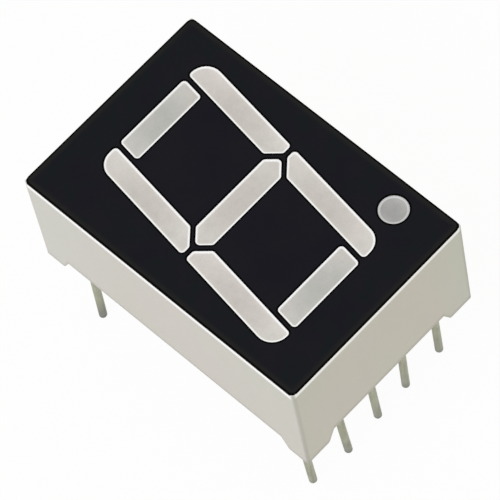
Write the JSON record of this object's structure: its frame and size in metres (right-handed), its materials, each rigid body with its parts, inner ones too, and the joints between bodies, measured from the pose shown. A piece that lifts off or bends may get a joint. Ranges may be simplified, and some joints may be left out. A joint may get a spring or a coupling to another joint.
{
  "type": "seven segment display",
  "caption": "Slanted seven segment digit with a round decimal point, behind a black printed face in a white body with corner feet and rows of round solder pins.",
  "frame": {"origin": "centre of the seating plane under the four corner feet, midway between the two rows of pins", "axes": "+X across the digit to its right, +Y up the digit, +Z out of the face; the pins point along -Z"},
  "size_m": [0.0126, 0.019, 0.0151],
  "materials": {
    "housing_white": "satin, as moulded",
    "face_black": "satin screen print",
    "diffusing_resin": "milky, slightly mottled",
    "laminate": "woven glass laminate",
    "copper": "bare copper",
    "gold_wire": "drawn gold wire",
    "die": "sawn crystal",
    "tinned_pin": "dull tinned wire",
    "solder": "bright solder",
    "potting": "cast epoxy"
  },
  "bodies": {
    "root": {"reflector_housing": "housing_white", "face_ink": "face_black", "segment_a": "diffusing_resin", "segment_b": "diffusing_resin", "segment_c": "diffusing_resin", "segment_d": "diffusing_resin", "segment_e": "diffusing_resin", "segment_f": "diffusing_resin", "segment_g": "diffusing_resin", "decimal_point": "diffusing_resin", "circuit_board": "laminate", "common_track": "copper", "track_a": "copper", "track_b": "copper", "track_c": "copper", "track_d": "copper", "track_e": "copper", "track_f": "copper", "track_g": "copper", "track_point": "copper", "die_a": "die", "die_b": "die", "die_c": "die", "die_d": "die", "die_e": "die", "die_f": "die", "die_g": "die", "die_point": "die", "wire_a": "gold_wire", "wire_b": "gold_wire", "wire_c": "gold_wire", "wire_d": "gold_wire", "wire_e": "gold_wire", "wire_f": "gold_wire", "wire_g": "gold_wire", "wire_point": "gold_wire", "pin_1": "tinned_pin", "pin_2": "tinned_pin", "pin_3": "tinned_pin", "pin_4": "tinned_pin", "pin_5": "tinned_pin", "pin_6": "tinned_pin", "pin_7": "tinned_pin", "pin_8": "tinned_pin", "pin_9": "tinned_pin", "pin_10": "tinned_pin", "solder_1": "solder", "solder_2": "solder", "solder_3": "solder", "solder_4": "solder", "solder_5": "solder", "solder_6": "solder", "solder_7": "solder", "solder_8": "solder", "solder_9": "solder", "solder_10": "solder", "back_resin": "potting"}
  },
  "joints": []
}
